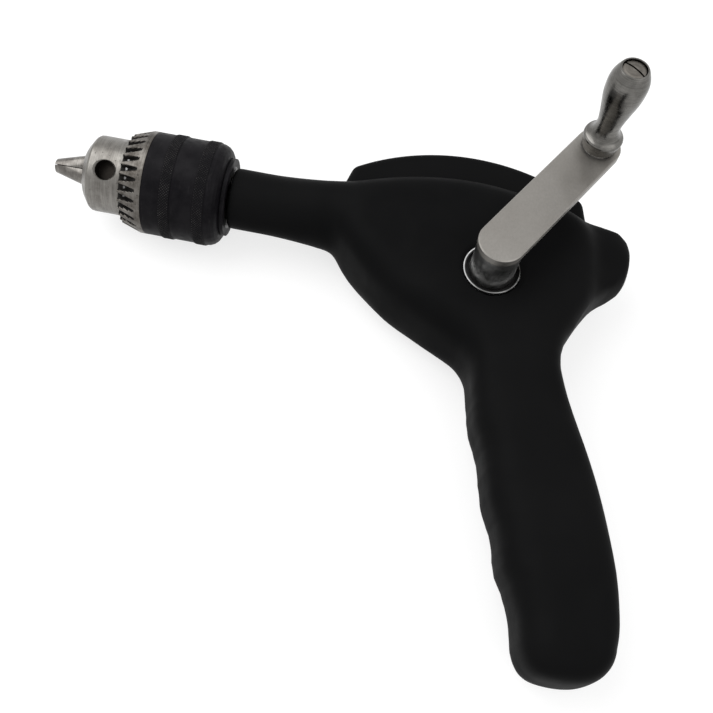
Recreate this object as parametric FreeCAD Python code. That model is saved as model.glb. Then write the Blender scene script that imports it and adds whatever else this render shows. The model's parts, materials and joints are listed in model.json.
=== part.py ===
"""Orthopedic hand drill with a pistol grip, a side crank and a keyed three-jaw chuck.

Millimetres. The drill lies on its side: +X runs from the chuck to the rear boss along the spindle
axis, the grip points to -Y, and the crank stands on the +Z side. The origin lies on the spindle
axis, level with the crank axis.
"""
import FreeCAD, Part
import math
import os

V = FreeCAD.Vector
X_AXIS = V(1, 0, 0)
Z_AXIS = V(0, 0, 1)

# Fits
RUN_GAP = 0.05          # radial clearance of a shaft that turns in a bush
FREE_GAP = 0.3          # clearance of parts that pass each other without touching
SEAM_GAP = 0.1          # gap round the cover, where it sinks into the shells
POCKET_GAP = 0.45       # gap under the gears, in the pocket of the far shell

# Moulded body
BODY_HALF = 16.0        # half thickness of the shells
WALL = 2.4              # wall of the shells
EDGE_IN = 8.5           # how far the rounded edge reaches in from the outline
EDGE_UP = 8.5           # how far it reaches down from the flat side
GRIP_EDGE_IN = 12.0     # the same on the grip, which is rounder
GRIP_TOP_Y = -45.0      # the grip's rounding begins here
GRIP_BLEND = 25.0       # and is complete this much lower

# Grip front with its finger grooves
GRIP_FRONT_TOP = (-2.0, -52.0)
GRIP_FRONT_END = (19.0, -133.0)
GROOVE_COUNT = 4
GROOVE_DEPTH = 1.6

# Neck and rear boss
NECK_R = 10.1
NECK_END_X = -86.8
NECK_ROOT_X = -50.0
BOSS_R = 10.5
BOSS_END_X = 45.0
BOSS_ROOT_X = 32.0
BOSS_CORNER_R = 3.0
FLARE_R = 2.2           # concave flare where neck and boss grow out of the body
FLARE_LENGTH = 5.5
FLARE_DEPTH = 8.0       # how far neck and boss reach into the body
FLARE_STEPS = 5

# Top cover
COVER_HALF = 8.0
COVER_EDGE_R = 3.0
COVER_FRONT_X = -51.5
COVER_REAR_X = 31.9
COVER_ARC_R = 70.0
COVER_TOP_X = -8.0
COVER_TOP_Y = 30.4
COVER_SEAT_END_Y = 7.0  # the cover's underside, a low arch that sinks into the shells
COVER_SEAT_TOP_Y = 14.0
COVER_HOLLOW_Y = 20.0   # height of the hollow in it
COVER_LEAN = 2.5        # how far its ends lean in at the top
COVER_CORNER_R = 4.0

# Spindle
SPINDLE_R = 4.5
WIRE_R = 2.1
BUSH_R = 7.0
CIRCLIP_X = (32.0, 32.9)
CIRCLIP_DEPTH = 0.6
CIRCLIP_RISE = 1.6      # how far the open ring stands out of its groove
FRONT_BUSH = (-86.0, -74.0)
REAR_BUSH = (33.0, 43.0)
WIRE_HOLE_R = 3.2
SPINDLE_END_X = 42.8
NOSE_THREAD_X = -102.0  # the spindle's front end, inside the chuck

# Crank
CRANK_Y = -20.0
CRANK_SHAFT_R = 4.0
CRANK_FOOT_R = 2.5
COLLAR_R = 7.0
COLLAR_Z = (12.3, 28.3)
RING_R = 8.9
RING_WALL = 0.8
RING_Z = (12.2, 16.3)
SEAL_Z = (14.0, 14.9)
CRANK_BUSH_Z = (3.5, 12.2)
CRANK_BUSH_R = 6.2
FOOT_BUSH_R = 4.5
FOOT_BUSH_Z = (-15.3, -13.4)
KEY_HALF = 1.0          # half of the square key between shaft and gear
ARM_Z = (28.3, 31.3)
ARM_HALF = 7.2
ARM_LENGTH = 50.6
ARM_ANGLE = 58.2        # degrees from +X towards +Y
ARM_CHAMFER = 0.35
ARM_SPIGOT_R = 3.0
ARM_SPIGOT_H = 1.8

# Knob
WASHER_H = 0.4
WASHER_R = 5.0
KNOB_SCREW_R = 2.0
KNOB_HEAD_R = 3.45
KNOB_HEAD_Z = 61.0
KNOB_HEAD_DOME = 0.5
KNOB_TOP_Z = 64.2
KNOB_SLOT_W = 0.6
KNOB_SLOT_DEPTH = 1.1
KNOB_SLOT_ANGLE = -38.0
KNOB_MOUTH_R = 3.75
KNOB_RIM_R = 4.2

# The knob's flared foot, then its waist and bulb: radius and height over its underside
KNOB_FOOT = ((5.3, 0.0), (5.65, 0.4), (6.3, 4.0), (6.2, 4.5))
KNOB_PROFILE = ((5.9, 4.9), (4.6, 6.3), (3.85, 9.0), (4.2, 13.0), (5.0, 17.3), (5.8, 21.5), (6.1, 25.3),
                (5.85, 28.6), (5.0, 31.0), (4.4, 32.2))

# Gears
SPUR_MODULE = 1.0
CRANK_TEETH = 34
IDLER_TEETH = 16
SPUR_Z = (-13.3, -9.7)
GEAR_HOLES = 6          # holes that lighten the crank gear
GEAR_HOLE_R = 2.6
GEAR_HOLE_PLACE_R = 10.8
BEVEL_MODULE = 0.8
WHEEL_TEETH = 30
PINION_TEETH = 20
BEVEL_FACE = 0.28       # share of the cone distance that the teeth cover
PINION_HUB_R = 6.0
PINION_HUB_L = 4.0
GRUB_R = 1.25
PRESSURE_ANGLE = 20.0
TOOTH_SHARE = 0.455     # tooth width as a share of the pitch, the rest is gap and backlash
ADDENDUM = 0.92
DEDENDUM = 1.22

# Idler
IDLER_PIN_R = 3.0
IDLER_FLANGE_R = 4.5
IDLER_FLANGE_Z = (-15.0, -13.5)
IDLER_HUB_R = 5.0
IDLER_HUB_Z = -6.3
IDLER_CLIP_R = 4.2
IDLER_CLIP_H = 0.5
IDLER_PIN_END = 0.4     # the pin stands this far over its clip
IDLER_SCREW_R = 1.5
IDLER_SCREW_HEAD_R = 2.5
IDLER_SCREW_Z = -10.5

# Chuck
JAW_TIP_X = -146.7
NOSE_X = -138.0
NOSE_R = 12.6
NOSE_CONE_X = -134.2
NOSE_FRONT_R = 8.6
NOSE_BACK_X = -121.6
CHUCK_BORE_R = 3.0      # the room between the jaws, wider than the spindle's bore behind it
CHUCK_WAIST_R = 10.3
BACK_RING_X = (-88.5, -87.2)
BACK_RING_R = 12.9
KEY_HOLE_R = 3.25
KEY_HOLE_X = -127.0
KEY_HOLE_CHAMFER = 0.6
KEY_HOLE_DEPTH = 5.0
KEY_HOLE_TURN = -60.0   # each key hole lies midway between two jaws
SLEEVE_R = 17.0
SLEEVE_X = (-113.35, -88.7)
SLEEVE_WALL = 1.7
SLEEVE_BACK_R = 13.2
SLEEVE_ROUND_X = -92.8  # the rear rounding begins here
SLEEVE_ROUND_STEPS = 5
KNURL_BANDS = ((-107.6, -104.0), (-96.6, -92.9))
KNURL_RISE = 0.2
RING_GEAR_X = (-121.5, -113.35)
RING_GEAR_TEETH = 30
RING_GEAR_IN_R = 13.0
RING_GEAR_ROOT_X = -115.9
RING_GEAR_BEVEL = 1.3
NOTCH_ROOT_R = 0.85     # half width of a notch at its round root
NOTCH_MOUTH = 1.5       # and a little ahead of the ring's front
NUT_X = (-119.8, -113.8)
NUT_R = 14.0
NUT_SPLIT = 0.3

# Jaws
JAW_ANGLE = 17.0        # slant against the spindle axis
JAW_R = 3.2
JAW_TIP_R = 2.2
JAW_REAR_X = -118.0
JAW_TRAVEL = 13.6
JAW_FACE_GAP = 0.08     # each gripping face stands this far back when the jaws are closed
JAW_ANGLES = (30.6, 150.6, 270.6)   # degrees from +Z towards +Y

# Shell screws: places in the side view
SHELL_SCREWS = ((-37.0, -13.0), (25.0, -27.0), (21.5, -75.0), (34.0, -122.0))
SCREW_R = 1.5
SCREW_HEAD_R = 2.8
SCREW_HEAD_H = 2.2
SCREW_CHAMFER = 0.5
SCREW_HEX_R = 1.25
SCREW_HEX_DEPTH = 1.2
SCREW_POST_R = 3.8
SCREW_SINK = 3.0
SCREW_TIP_Z = 9.0

# The body's outline seen from the crank side, apart from the top arc and the grip's front
TOP_ARC = ((-48.5, 7.5), (-11.0, 17.0), (29.0, 9.5))
REAR_POINTS = ((34.0, 0.0), (35.2, -10.0), (33.6, -19.5), (29.4, -29.0), (26.9, -38.2), (28.3, -47.0),
               (32.0, -57.0), (37.0, -69.0), (41.6, -81.5), (45.4, -95.0), (47.9, -108.5), (48.7, -119.0))
BOTTOM_POINTS = ((47.4, -128.0), (41.5, -133.4), (32.5, -135.8), (24.8, -135.4))
FRONT_POINTS = ((-5.2, -46.2), (-11.5, -42.0), (-20.0, -37.5), (-28.5, -32.4), (-36.8, -26.0), (-44.5, -18.8),
                (-50.0, -11.0), (-51.2, -2.0))

OUTLINE_STATIONS = 72
NORMAL_WINDOW = 13.0    # length over which the outline's direction is averaged
EDGE_STEPS = 8          # bands of the rounded edge outside
INNER_EDGE_STEPS = 3    # and in the cavity


def cylinder(radius, start, end, at=(0, 0), axis="x"):
    """A cylinder from start to end along X at (y, z), or along Z at (x, y)."""
    if axis == "x":
        return Part.makeCylinder(radius, end - start, V(start, at[0], at[1]), X_AXIS)
    return Part.makeCylinder(radius, end - start, V(at[0], at[1], start), Z_AXIS)


def tube(outer, inner, start, end, at=(0, 0), axis="x"):
    return cylinder(outer, start, end, at, axis).cut(cylinder(inner, start - 1, end + 1, at, axis))


def revolve_x(points):
    """A solid of revolution about the spindle axis, from (x, radius) points."""
    wire = Part.makePolygon([V(x, r, 0) for x, r in points] + [V(points[0][0], points[0][1], 0)])
    return Part.Face(wire).revolve(V(0, 0, 0), X_AXIS, 360)


def turned_z(edges, centre):
    """A solid of revolution about the axis parallel to Z through centre, from edges in its XZ plane."""
    solid = Part.Face(Part.Wire(edges)).revolve(V(0, 0, 0), Z_AXIS, 360)
    solid.translate(V(centre[0], centre[1], 0))
    return solid


def smooth_step(value):
    value = min(1.0, max(0.0, value))
    return value * value * (3 - 2 * value)


def grip_front():
    """Points of the grip's front: a straight line with a cosine wave, four grooves long."""
    x0, y0 = GRIP_FRONT_TOP
    x1, y1 = GRIP_FRONT_END
    length = math.hypot(x1 - x0, y1 - y0)
    out = ((y0 - y1) / length, (x1 - x0) / length)
    steps = GROOVE_COUNT * 6
    points = []
    for i in range(steps, -1, -1):
        share = i / steps
        depth = GROOVE_DEPTH * (1 - math.cos(2 * math.pi * GROOVE_COUNT * share)) / 2
        bow = 2.2 * math.sin(math.pi * share)
        shift = depth - bow
        points.append((x0 + (x1 - x0) * share + out[0] * shift, y0 + (y1 - y0) * share + out[1] * shift))
    return points


def body_outline():
    """The closed outline as a spline, clockwise from the front of the top arc."""
    arc = Part.Arc(*[V(x, y, 0) for x, y in TOP_ARC])
    top = [arc.value(arc.FirstParameter + (arc.LastParameter - arc.FirstParameter) * i / 5) for i in range(6)]
    points = top + [V(x, y, 0) for x, y in REAR_POINTS + BOTTOM_POINTS]
    points += [V(x, y, 0) for x, y in grip_front()]
    points += [V(x, y, 0) for x, y in FRONT_POINTS]
    spline = Part.BSplineCurve()
    spline.interpolate(Points=points, PeriodicFlag=True)
    return spline


def outline_stations():
    """Points evenly spaced on the outline, each with its averaged outward normal."""
    spline = body_outline()
    edge = spline.toShape()
    length = edge.Length
    samples = [edge.valueAt(edge.getParameterByLength(length * i / OUTLINE_STATIONS))
               for i in range(OUTLINE_STATIONS)]
    reach = max(1, round(NORMAL_WINDOW / (length / OUTLINE_STATIONS)))
    stations = []
    for i, point in enumerate(samples):
        total = V(0, 0, 0)
        for j in range(-reach, reach + 1):
            here = samples[(i + j) % OUTLINE_STATIONS]
            ahead = samples[(i + j + 1) % OUTLINE_STATIONS]
            weight = reach + 1 - abs(j)
            total += (ahead - here) * weight
        total.normalize()
        stations.append((point, V(-total.y, total.x, 0)))
    return stations


def envelope(inset, side, steps):
    """One half of the moulded body, shrunk by inset, with its rounded edge in a number of narrow bands."""
    stations = outline_stations()
    half = BODY_HALF - inset
    sections = [(0.0, 0.0)]
    for i in range(steps + 1):
        turn = math.radians(90.0 * i / steps)
        sections.append((half - EDGE_UP + EDGE_UP * math.sin(turn), 1 - math.cos(turn)))
    wires = []
    for height, share in sections:
        points = []
        for point, outward in stations:
            grip = smooth_step((GRIP_TOP_Y - point.y) / GRIP_BLEND)
            reach = inset + share * (EDGE_IN + (GRIP_EDGE_IN - EDGE_IN) * grip)
            moved = point - outward * reach
            points.append(V(moved.x, moved.y, side * height))
        ring = Part.BSplineCurve()
        ring.interpolate(Points=points, PeriodicFlag=True)
        wires.append(Part.Wire(ring.toShape()))
    return Part.makeLoft(wires, True, True)


def flare(root_x, radius, direction):
    """A turned collar whose concave side runs from the body out onto the neck or the boss."""
    points = [(root_x - direction * FLARE_DEPTH, 0.0), (root_x - direction * FLARE_DEPTH, radius + FLARE_R)]
    for i in range(FLARE_STEPS + 1):
        turn = math.radians(90.0 * i / FLARE_STEPS)
        points.append((root_x + direction * FLARE_LENGTH * (1 - math.cos(turn)),
                       radius + FLARE_R * (1 - math.sin(turn))))
    points.append((root_x + direction * FLARE_LENGTH, 0.0))
    return revolve_x(points)


def half_space(side):
    """A block that holds everything on one side of the parting plane."""
    size = 400.0
    low = 0.0 if side > 0 else -size
    return Part.makeBox(size * 2, size * 2, size, V(-size, -size, low))


def cover_profile(gap):
    """The top cover's side view as a closed wire, grown by gap."""
    front, rear = COVER_FRONT_X - gap, COVER_REAR_X + gap
    centre_y = COVER_TOP_Y - COVER_ARC_R
    radius = COVER_ARC_R + gap
    seat_end, seat_top = COVER_SEAT_END_Y - gap, COVER_SEAT_TOP_Y - gap

    def on_arc(x):
        return V(x, centre_y + math.sqrt(radius ** 2 - (x - COVER_TOP_X) ** 2), 0)

    front_top, rear_top = on_arc(front + COVER_LEAN), on_arc(rear - COVER_LEAN)
    corners = [V(front, seat_end, 0), front_top, on_arc(COVER_TOP_X), rear_top, V(rear, seat_end, 0)]
    edges = [Part.LineSegment(corners[0], corners[1]).toShape(),
             Part.Arc(corners[1], corners[2], corners[3]).toShape(),
             Part.LineSegment(corners[3], corners[4]).toShape(),
             Part.Arc(corners[4], V(COVER_TOP_X, seat_top, 0), corners[0]).toShape()]
    return Part.Wire(edges)


def cover_block(gap):
    half = COVER_HALF + gap
    wire = cover_profile(gap)
    wire.translate(V(0, 0, -half))
    return Part.Face(wire).extrude(V(0, 0, 2 * half))


def is_cover_rim(edge):
    """True for the edges of the cover's flat sides, apart from those of its underside."""
    middle = edge.valueAt((edge.FirstParameter + edge.LastParameter) / 2)
    return middle.y > COVER_SEAT_TOP_Y + 1


def top_cover():
    """The ridge on top of the drill, with its rounded edges, hollow underneath."""
    block = cover_block(0.0)
    corner_edges = [e for e in block.Edges
                    if abs(e.CenterOfMass.z) < 0.01 and e.CenterOfMass.y > COVER_SEAT_TOP_Y + 1]
    block = block.makeFillet(COVER_CORNER_R, corner_edges)
    side_edges = [e for e in block.Edges
                  if abs(abs(e.CenterOfMass.z) - COVER_HALF) < 0.01 and is_cover_rim(e)]
    block = block.makeFillet(COVER_EDGE_R, side_edges)
    hollow = Part.makeBox(COVER_REAR_X - COVER_FRONT_X - 6 * WALL, COVER_HOLLOW_Y, 2 * (COVER_HALF - WALL),
                          V(COVER_FRONT_X + 3 * WALL, 0, -(COVER_HALF - WALL)))
    return block.cut(hollow)


def grip_post(x, y, side):
    low, high = (0.0, BODY_HALF - WALL / 2) if side > 0 else (-(BODY_HALF - WALL / 2), 0.0)
    return cylinder(SCREW_POST_R, low, high, (x, y), "z")


def shell(side):
    """One moulded half with its neck, boss, bearing seats and screw posts."""
    outer = envelope(0.0, side, EDGE_STEPS)
    neck = cylinder(NECK_R, NECK_END_X, NECK_ROOT_X + FLARE_DEPTH).fuse(
        flare(NECK_ROOT_X, NECK_R, -1))
    boss = cylinder(BOSS_R, BOSS_ROOT_X - FLARE_DEPTH, BOSS_END_X)
    rim = [e for e in boss.Edges if abs(e.CenterOfMass.x - BOSS_END_X) < 0.01]
    boss = boss.makeFillet(BOSS_CORNER_R, rim).fuse(flare(BOSS_ROOT_X, BOSS_R, 1))
    outer = outer.fuse([neck.common(half_space(side)), boss.common(half_space(side))])
    outer = outer.cut(cover_block(SEAM_GAP))

    cavity = envelope(WALL, side, INNER_EDGE_STEPS)
    keep = [cylinder(BUSH_R + WALL, REAR_BUSH[0] - WALL, BOSS_END_X).common(half_space(side)),
            cover_block(SEAM_GAP + WALL)]
    keep += [grip_post(x, y, side) for x, y in SHELL_SCREWS]
    if side > 0:
        keep.append(cylinder(RING_R + WALL, CRANK_BUSH_Z[0], BODY_HALF - WALL / 2, (0, CRANK_Y), "z"))
    cavity = cavity.cut(keep)

    cuts = [cylinder(SPINDLE_R + RUN_GAP + FREE_GAP * 2, FRONT_BUSH[1], REAR_BUSH[0]),
            cylinder(BUSH_R, FRONT_BUSH[0], FRONT_BUSH[1]),
            cylinder(SPINDLE_R + FREE_GAP, NECK_END_X - 1, FRONT_BUSH[0]),
            cylinder(BUSH_R, REAR_BUSH[0], REAR_BUSH[1]),
            cylinder(SPINDLE_R + CIRCLIP_RISE + FREE_GAP, REAR_BUSH[0] - 2 * WALL, REAR_BUSH[0]),
            cylinder(WIRE_HOLE_R, REAR_BUSH[1], BOSS_END_X + 1)]
    if side > 0:
        cuts += [cylinder(CRANK_BUSH_R, CRANK_BUSH_Z[0] - 1, CRANK_BUSH_Z[1], (0, CRANK_Y), "z"),
                 cylinder(RING_R, RING_Z[0], BODY_HALF + 1, (0, CRANK_Y), "z")]
        cuts += [cylinder(SCREW_R, -1, SCREW_TIP_Z, place, "z") for place in SHELL_SCREWS]
    else:
        gear_r = SPUR_MODULE * (CRANK_TEETH / 2 + ADDENDUM) + FREE_GAP * 3
        idler_r = wheel_rim_r() + FREE_GAP * 1.6
        cuts += [cylinder(gear_r, SPUR_Z[0] - POCKET_GAP, SPUR_Z[1] + 1, (0, CRANK_Y), "z"),
                 cylinder(idler_r, SPUR_Z[0] - POCKET_GAP, 0, idler_place(), "z"),
                 cylinder(FOOT_BUSH_R, FOOT_BUSH_Z[0], SPUR_Z[0], (0, CRANK_Y), "z"),
                 cylinder(IDLER_FLANGE_R, IDLER_FLANGE_Z[0], SPUR_Z[0], idler_place(), "z"),
                 cylinder(IDLER_SCREW_R + SEAM_GAP, -BODY_HALF - 1, IDLER_FLANGE_Z[0], idler_place(), "z"),
                 countersink(idler_place())]
        for place in SHELL_SCREWS:
            cuts.append(cylinder(SCREW_R + SEAM_GAP, -BODY_HALF - 1, 1, place, "z"))
            cuts.append(cylinder(SCREW_HEAD_R + SEAM_GAP, -BODY_HALF - 1, -BODY_HALF + SCREW_SINK, place, "z"))
    return outer.cut(cavity).cut(cuts)


def countersink(place):
    """The cone that the flat head of the idler screw lies in."""
    depth = IDLER_SCREW_HEAD_R - IDLER_SCREW_R
    return Part.makeCone(IDLER_SCREW_HEAD_R, IDLER_SCREW_R, depth, V(place[0], place[1], -BODY_HALF), Z_AXIS)


def shell_screws():
    """Four screws with a chamfered head and a hexagon socket, as one group."""
    screws = []
    for place in SHELL_SCREWS:
        seat = -BODY_HALF + SCREW_SINK
        head = cylinder(SCREW_HEAD_R, seat - SCREW_HEAD_H, seat, place, "z")
        rim = [e for e in head.Edges if abs(e.CenterOfMass.z - (seat - SCREW_HEAD_H)) < 0.01]
        head = head.makeChamfer(SCREW_CHAMFER, rim)
        shank = cylinder(SCREW_R, seat - SCREW_CHAMFER, SCREW_TIP_Z - SCREW_CHAMFER, place, "z")
        socket = hexagon(SCREW_HEX_R, seat - SCREW_HEAD_H - 0.1, SCREW_HEX_DEPTH + 0.1, place)
        screws.append(head.fuse(shank).cut(socket).removeSplitter())
    return Part.makeCompound(screws)


def hexagon(radius, z, height, place):
    corners = [V(place[0] + radius * math.cos(math.radians(60 * i)),
                 place[1] + radius * math.sin(math.radians(60 * i)), z) for i in range(7)]
    return Part.Face(Part.makePolygon(corners)).extrude(V(0, 0, height))


def idler_place():
    """The idler's axis crosses the spindle axis and lies one gear distance from the crank axis."""
    distance = SPUR_MODULE * (CRANK_TEETH + IDLER_TEETH) / 2
    return (-math.sqrt(distance ** 2 - CRANK_Y ** 2), 0.0)


def involute_half_angle(radius, teeth, module):
    """Half the angle that a tooth covers at this radius."""
    pitch_r = module * teeth / 2
    base_r = pitch_r * math.cos(math.radians(PRESSURE_ANGLE))
    half = math.pi * TOOTH_SHARE / teeth

    def inv(r):
        alpha = math.acos(min(1.0, base_r / r))
        return math.tan(alpha) - alpha
    return half + inv(pitch_r) - inv(max(radius, base_r))


def tooth_radii(teeth, module):
    pitch_r = module * teeth / 2
    return (pitch_r - DEDENDUM * module, pitch_r - 0.45 * module, pitch_r + 0.25 * module,
            pitch_r + ADDENDUM * module)


def star_points(teeth, angles, radii, phase):
    """A closed gear outline as (x, y), the first tooth centred on the phase angle in degrees."""
    points = []
    for i in range(teeth):
        centre = math.radians(phase) + 2 * math.pi * i / teeth
        flank = list(zip(angles, radii))
        for half, radius in [(-a, r) for a, r in flank] + flank[::-1]:
            points.append((radius * math.cos(centre + half), radius * math.sin(centre + half)))
    return points + points[:1]


def spur_gear(teeth, z_range, place, phase):
    """A straight gear with involute teeth of three chords a side."""
    radii = tooth_radii(teeth, SPUR_MODULE)
    angles = [involute_half_angle(r, teeth, SPUR_MODULE) for r in radii]
    points = [V(place[0] + x, place[1] + y, z_range[0]) for x, y in star_points(teeth, angles, radii, phase)]
    return Part.Face(Part.makePolygon(points)).extrude(V(0, 0, z_range[1] - z_range[0]))


def cone_distance():
    return BEVEL_MODULE * math.hypot(WHEEL_TEETH, PINION_TEETH) / 2


def wheel_rim_r():
    return BEVEL_MODULE * WHEEL_TEETH / 2 + BEVEL_MODULE


def bevel_blank(teeth, mate_teeth, start, end, phase):
    """Bevel teeth that all point at the apex at the origin, with the gear's axis along +Z."""
    cone = math.atan2(teeth, mate_teeth)
    length = cone_distance()
    radii = tooth_radii(teeth, BEVEL_MODULE)
    pitch_r = BEVEL_MODULE * teeth / 2
    virtual = teeth / math.cos(cone)
    angles = []
    slopes = []
    for radius in radii:
        rise = radius - pitch_r
        slopes.append(math.tan(cone + math.atan2(rise, length)))
        virtual_r = BEVEL_MODULE * virtual / 2 + rise
        angles.append(involute_half_angle(virtual_r, virtual, BEVEL_MODULE) / math.cos(cone))
    wires = []
    for z in (start, end):
        outline = star_points(teeth, angles, [slope * z for slope in slopes], phase)
        wires.append(Part.makePolygon([V(x, y, z) for x, y in outline]))
    return Part.makeLoft(wires, True, True)


def crank_gear():
    toward_idler = math.degrees(math.atan2(-CRANK_Y, idler_place()[0]))
    gear = spur_gear(CRANK_TEETH, SPUR_Z, (0, CRANK_Y), toward_idler)
    holes = []
    for i in range(GEAR_HOLES):
        turn = 2 * math.pi * i / GEAR_HOLES
        holes.append(cylinder(GEAR_HOLE_R, SPUR_Z[0] - 1, SPUR_Z[1] + 1,
                              (GEAR_HOLE_PLACE_R * math.cos(turn), CRANK_Y + GEAR_HOLE_PLACE_R * math.sin(turn)), "z"))
    return gear.cut([cylinder(CRANK_SHAFT_R, SPUR_Z[0] - 1, SPUR_Z[1] + 1, (0, CRANK_Y), "z"), key_block()] + holes)


def key_block():
    return Part.makeBox(2 * KEY_HALF, 2 * KEY_HALF, SPUR_Z[1] - SPUR_Z[0],
                        V(CRANK_SHAFT_R - KEY_HALF, CRANK_Y - KEY_HALF, SPUR_Z[0]))


def idler_pinion():
    x, y = idler_place()
    from_crank = math.degrees(math.atan2(CRANK_Y, -x))
    gear = spur_gear(IDLER_TEETH, SPUR_Z, (x, y), from_crank + 180.0 / IDLER_TEETH)
    hub = cylinder(IDLER_HUB_R, SPUR_Z[1], IDLER_HUB_Z, (x, y), "z")
    return gear.fuse(hub).cut(cylinder(IDLER_PIN_R + RUN_GAP, SPUR_Z[0] - 1, IDLER_HUB_Z + 1, (x, y), "z"))


def idler_bevel():
    """The bevel wheel, which opens downwards from the apex where the idler axis meets the spindle axis."""
    pinion_r = BEVEL_MODULE * PINION_TEETH / 2
    start = pinion_r * (1 - BEVEL_FACE)
    end = -SPUR_Z[1] - 0.05
    wheel = bevel_blank(WHEEL_TEETH, PINION_TEETH, start, end, 180.0 + 180.0 / WHEEL_TEETH)
    wheel = wheel.common(cylinder(wheel_rim_r(), start, end, (0, 0), "z"))
    wheel = wheel.mirror(V(0, 0, 0), Z_AXIS)
    wheel.translate(V(idler_place()[0], 0, 0))
    return wheel.cut(cylinder(IDLER_HUB_R, -BODY_HALF, 0, idler_place(), "z"))


def spindle_bevel():
    wheel_r = BEVEL_MODULE * WHEEL_TEETH / 2
    start = wheel_r * (1 - BEVEL_FACE)
    end = wheel_r + 0.3
    gear = bevel_blank(PINION_TEETH, WHEEL_TEETH, start, end, 0.0)
    hub = cylinder(PINION_HUB_R, end - 1, end + PINION_HUB_L, (0, 0), "z")
    gear = gear.fuse(hub).cut(cylinder(SPINDLE_R, start - 1, end + PINION_HUB_L + 1, (0, 0), "z"))
    gear.rotate(V(0, 0, 0), V(0, 1, 0), -90)
    gear.translate(V(idler_place()[0], 0, 0))
    return gear.cut(cylinder(GRUB_R, 0, PINION_HUB_R + 1, (grub_x(), 0), "z"))


def grub_x():
    return idler_place()[0] - BEVEL_MODULE * WHEEL_TEETH / 2 - 0.3 - PINION_HUB_L / 2


def grub_screw():
    screw = cylinder(GRUB_R, SPINDLE_R, PINION_HUB_R - 0.2, (grub_x(), 0), "z")
    return screw.cut(hexagon(0.75, PINION_HUB_R - 1.2, 1.2, (grub_x(), 0)))


def crank_shaft():
    parts = [cylinder(COLLAR_R, COLLAR_Z[0], COLLAR_Z[1], (0, CRANK_Y), "z"),
             cylinder(CRANK_SHAFT_R, SPUR_Z[0], COLLAR_Z[0] + 1, (0, CRANK_Y), "z"),
             cylinder(CRANK_FOOT_R, FOOT_BUSH_Z[0] + RUN_GAP, SPUR_Z[0] + 1, (0, CRANK_Y), "z"),
             cylinder(ARM_SPIGOT_R, COLLAR_Z[1] - 1, COLLAR_Z[1] + ARM_SPIGOT_H, (0, CRANK_Y), "z")]
    return parts[0].fuse(parts[1:]).cut(key_block()).removeSplitter()


def knob_place():
    turn = math.radians(ARM_ANGLE)
    return (ARM_LENGTH * math.cos(turn), CRANK_Y + ARM_LENGTH * math.sin(turn))


def crank_arm():
    """A flat arm with round ends, its top edges broken."""
    low, high = ARM_Z
    turn = math.radians(ARM_ANGLE)
    side = V(-math.sin(turn), math.cos(turn), 0) * ARM_HALF
    along = V(math.cos(turn), math.sin(turn), 0) * ARM_HALF
    hub, far = V(0, CRANK_Y, low), V(knob_place()[0], knob_place()[1], low)
    wire = Part.Wire([Part.Arc(hub + side, hub - along, hub - side).toShape(),
                      Part.LineSegment(hub - side, far - side).toShape(),
                      Part.Arc(far - side, far + along, far + side).toShape(),
                      Part.LineSegment(far + side, hub + side).toShape()])
    plate = Part.Face(wire).extrude(V(0, 0, high - low))
    rims = [e for e in plate.Edges if abs(e.BoundBox.ZMax - e.BoundBox.ZMin) < 0.01]
    plate = plate.makeChamfer(ARM_CHAMFER, rims)
    return plate.cut([cylinder(ARM_SPIGOT_R, low - 1, low + ARM_SPIGOT_H, (0, CRANK_Y), "z"),
                      cylinder(KNOB_SCREW_R, low - 1, high + 1, knob_place(), "z")])


def knob_screw():
    """The knob's axle: shank, and a domed head with a slot that shows in the knob's mouth."""
    edge_z = KNOB_TOP_Z - KNOB_HEAD_DOME
    arc = Part.Arc(V(KNOB_HEAD_R, 0, edge_z), V(KNOB_HEAD_R * 0.6, 0, KNOB_TOP_Z - KNOB_HEAD_DOME * 0.36),
                   V(0, 0, KNOB_TOP_Z)).toShape()
    corners = [V(0, 0, KNOB_TOP_Z), V(0, 0, ARM_Z[0]), V(KNOB_SCREW_R, 0, ARM_Z[0]),
               V(KNOB_SCREW_R, 0, KNOB_HEAD_Z), V(KNOB_HEAD_R, 0, KNOB_HEAD_Z),
               V(KNOB_HEAD_R, 0, edge_z)]
    edges = [Part.LineSegment(a, b).toShape() for a, b in zip(corners, corners[1:])]
    screw = turned_z(edges + [arc], knob_place())
    slot = Part.makeBox(4 * KNOB_HEAD_R, KNOB_SLOT_W, KNOB_SLOT_DEPTH + 1,
                        V(-2 * KNOB_HEAD_R, -KNOB_SLOT_W / 2, KNOB_TOP_Z - KNOB_SLOT_DEPTH))
    slot.rotate(V(0, 0, 0), Z_AXIS, KNOB_SLOT_ANGLE)
    slot.translate(V(knob_place()[0], knob_place()[1], 0))
    return screw.cut(slot)


def knob():
    """The turned handle: a flared foot, a waist and a bulb with a round mouth."""
    foot_z = ARM_Z[1] + WASHER_H + RUN_GAP
    foot = [V(KNOB_SCREW_R + RUN_GAP, 0, foot_z)] + [V(r, 0, foot_z + h) for r, h in KNOB_FOOT]
    waist = Part.BSplineCurve()
    waist.interpolate([V(r, 0, foot_z + h) for r, h in KNOB_PROFILE])
    top = [V(KNOB_RIM_R, 0, KNOB_TOP_Z), V(KNOB_MOUTH_R, 0, KNOB_TOP_Z), V(KNOB_MOUTH_R, 0, KNOB_HEAD_Z - RUN_GAP),
           V(KNOB_SCREW_R + RUN_GAP, 0, KNOB_HEAD_Z - RUN_GAP), foot[0]]
    start, end = waist.StartPoint, waist.EndPoint
    edges = [Part.LineSegment(a, b).toShape() for a, b in zip(foot, foot[1:] + [start])]
    edges.append(waist.toShape())
    edges += [Part.LineSegment(a, b).toShape() for a, b in zip([end] + top, top)]
    return turned_z(edges, knob_place())


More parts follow.
